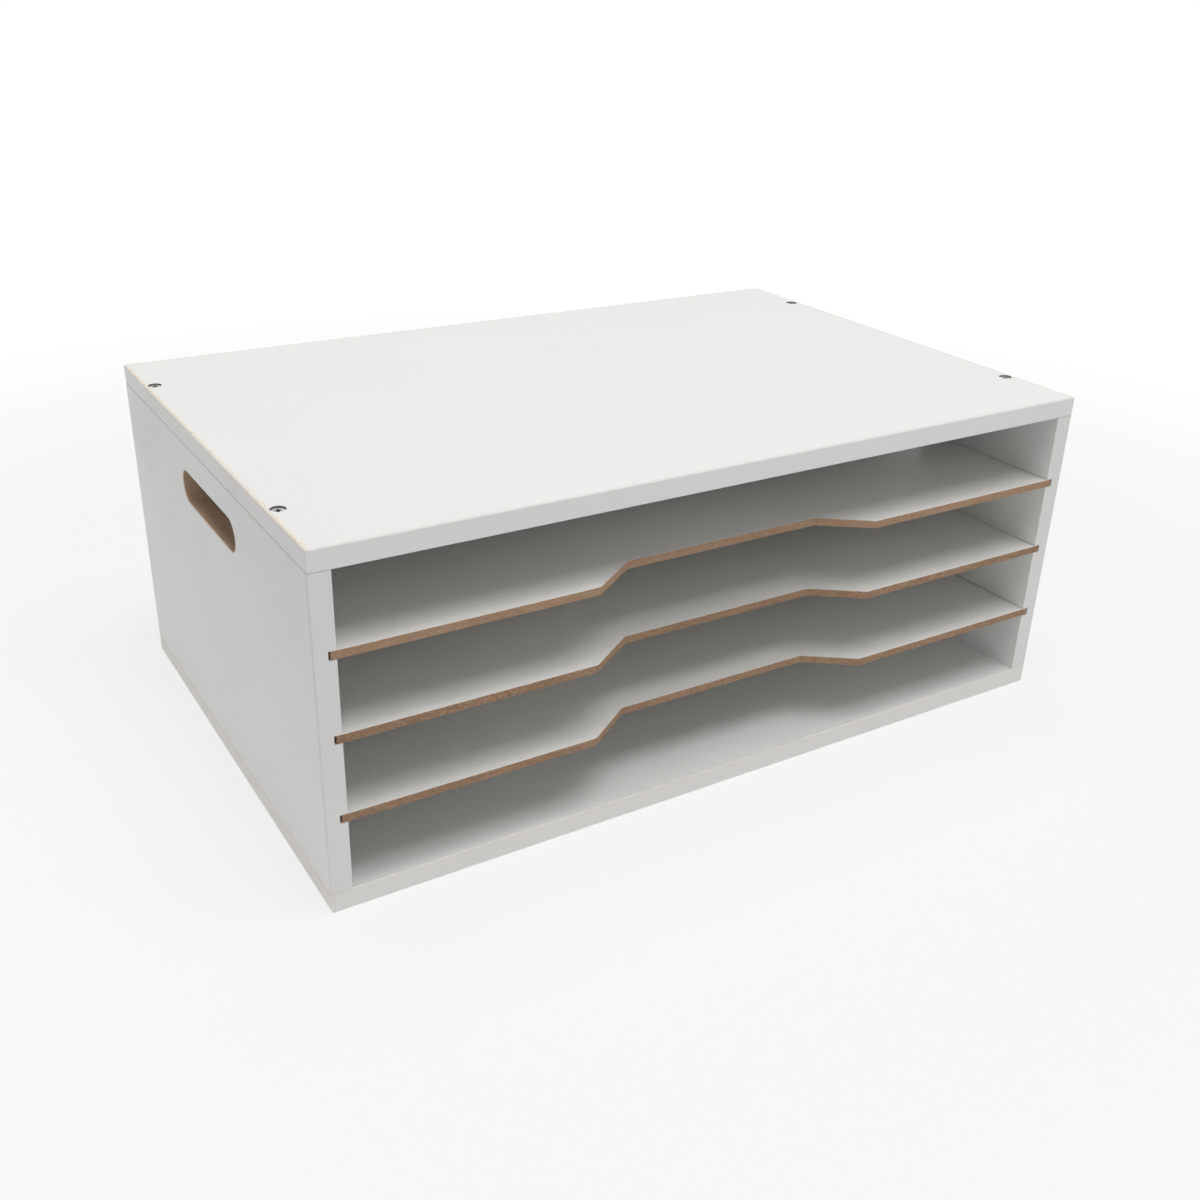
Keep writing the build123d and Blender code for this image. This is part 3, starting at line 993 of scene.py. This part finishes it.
class ORGANIZER_OT_stage(bpy.types.Operator):
    """Build the floor, the lamps and the camera"""

    bl_idname = "organizer.stage"
    bl_label = "Build the stage"

    def execute(self, context):
        studio = context.scene.organizer_studio
        context.scene.view_settings.view_transform = "Standard"
        self.floor(context, studio)
        self.sky(context, studio)
        for name, (place, size) in LAMPS.items():
            self.lamp(context, name, getattr(studio, name), Vector(place), size)
        self.camera(context, studio)
        return {"FINISHED"}

    def floor(self, context, studio):
        """A wide pale floor that shows the object's shadow."""
        mesh = bpy.data.meshes.new("floor")
        corners = [(-1, -1), (1, -1), (1, 1), (-1, 1)]
        mesh.from_pydata([(x * FLOOR_REACH, y * FLOOR_REACH, 0) for x, y in corners], [], [(0, 1, 2, 3)])
        floor = bpy.data.objects.new("floor", mesh)
        context.scene.collection.objects.link(floor)
        material = bpy.data.materials.new("floor")
        material.use_nodes = True
        tree = material.node_tree
        tree.nodes.clear()
        place = add_node(tree, "ShaderNodeTexCoord").outputs["Object"]
        away = add_node(tree, "ShaderNodeVectorMath", {0: place}, operation="LENGTH").outputs["Value"]
        sent = ramp(tree, part_of(tree, place, X), *TABLE_END, studio.far_share, studio.floor_share)
        lit = add_node(tree, "ShaderNodeBsdfDiffuse", {"Color": sent})
        pale = add_node(tree, "ShaderNodeBsdfDiffuse", {"Color": (0.9, 0.9, 0.9)})
        glow = add_node(tree, "ShaderNodeEmission", {"Color": (1, 1, 1), "Strength": 1.0})
        shadow = ramp(tree, away, *SHADOW_REACH, studio.shadow_share, 0.0)
        shown = add_node(tree, "ShaderNodeMixShader", {
            0: shadow, 1: glow.outputs[0], 2: pale.outputs[0],
        })
        both = add_node(tree, "ShaderNodeMixShader", {
            0: seen_directly(tree), 1: lit.outputs[0], 2: shown.outputs[0],
        })
        add_node(tree, "ShaderNodeOutputMaterial", {"Surface": both.outputs[0]})
        mesh.materials.append(material)

    def sky(self, context, studio):
        """Even light from all round, and white where the camera sees it."""
        world = bpy.data.worlds.new("studio")
        world.use_nodes = True
        tree = world.node_tree
        tree.nodes.clear()
        white = calc(tree, "MULTIPLY", seen_directly(tree), 1.0 - studio.sky)
        strength = calc(tree, "ADD", studio.sky, white)
        light = add_node(tree, "ShaderNodeBackground", {"Color": (1, 1, 1), "Strength": strength})
        add_node(tree, "ShaderNodeOutputWorld", {"Surface": light.outputs[0]})
        context.scene.world = world

    def lamp(self, context, name, power, place, size):
        """A soft lamp panel that faces the middle of the organizer."""
        data = bpy.data.lights.new(name, "AREA")
        data.energy = power
        data.shape = "RECTANGLE"
        data.size, data.size_y = size
        lamp = bpy.data.objects.new(name, data)
        context.scene.collection.objects.link(lamp)
        lamp.location = place
        lamp.visible_camera = False
        lamp.visible_glossy = False
        centre = (cad_box[0] + cad_box[1]) / 2
        lamp.rotation_mode = "QUATERNION"
        lamp.rotation_quaternion = (centre - place).to_track_quat("-Z", "Y")

    def camera(self, context, studio):
        """The photograph's viewpoint."""
        data = bpy.data.cameras.new("camera")
        data.sensor_width = 36
        data.lens = studio.lens
        camera = bpy.data.objects.new("camera", data)
        context.scene.collection.objects.link(camera)
        place, aim = Vector(studio.place), Vector(studio.aim)
        look = (aim - place).to_track_quat("-Z", "Y").to_matrix().to_4x4()
        camera.matrix_world = Matrix.Translation(place) @ look @ Matrix.Rotation(studio.roll, 4, "Z")
        context.scene.camera = camera


STEPS = (
    ORGANIZER_OT_panels,
    ORGANIZER_OT_back,
    ORGANIZER_OT_shelves,
    ORGANIZER_OT_edging,
    ORGANIZER_OT_screws,
    ORGANIZER_OT_dowels,
    ORGANIZER_OT_stage,
)


class ORGANIZER_PT_sidebar(bpy.types.Panel):
    """Steps and settings of the organizer."""

    bl_idname = "ORGANIZER_PT_sidebar"
    bl_label = "Organizer"
    bl_space_type = "VIEW_3D"
    bl_region_type = "UI"
    bl_category = "Organizer"

    def draw(self, context):
        for step in STEPS:
            self.layout.operator(step.bl_idname)
        for attribute, group in SETTINGS.items():
            box = self.layout.box()
            box.label(text=group.__doc__)
            for name in group.__annotations__:
                box.prop(getattr(context.scene, attribute), name)


def register():
    for attribute, group in SETTINGS.items():
        bpy.utils.register_class(group)
        setattr(bpy.types.Scene, attribute, PointerProperty(type=group))
    for step in STEPS:
        bpy.utils.register_class(step)
    bpy.utils.register_class(ORGANIZER_PT_sidebar)


def unregister():
    bpy.utils.unregister_class(ORGANIZER_PT_sidebar)
    for step in reversed(STEPS):
        bpy.utils.unregister_class(step)
    for attribute, group in reversed(SETTINGS.items()):
        delattr(bpy.types.Scene, attribute)
        bpy.utils.unregister_class(group)


def main():
    """Registers the classes and runs every step in order."""
    register()
    for step in STEPS:
        family, action = step.bl_idname.split(".")
        getattr(getattr(bpy.ops, family), action)()


if __name__ == "__main__":
    main()
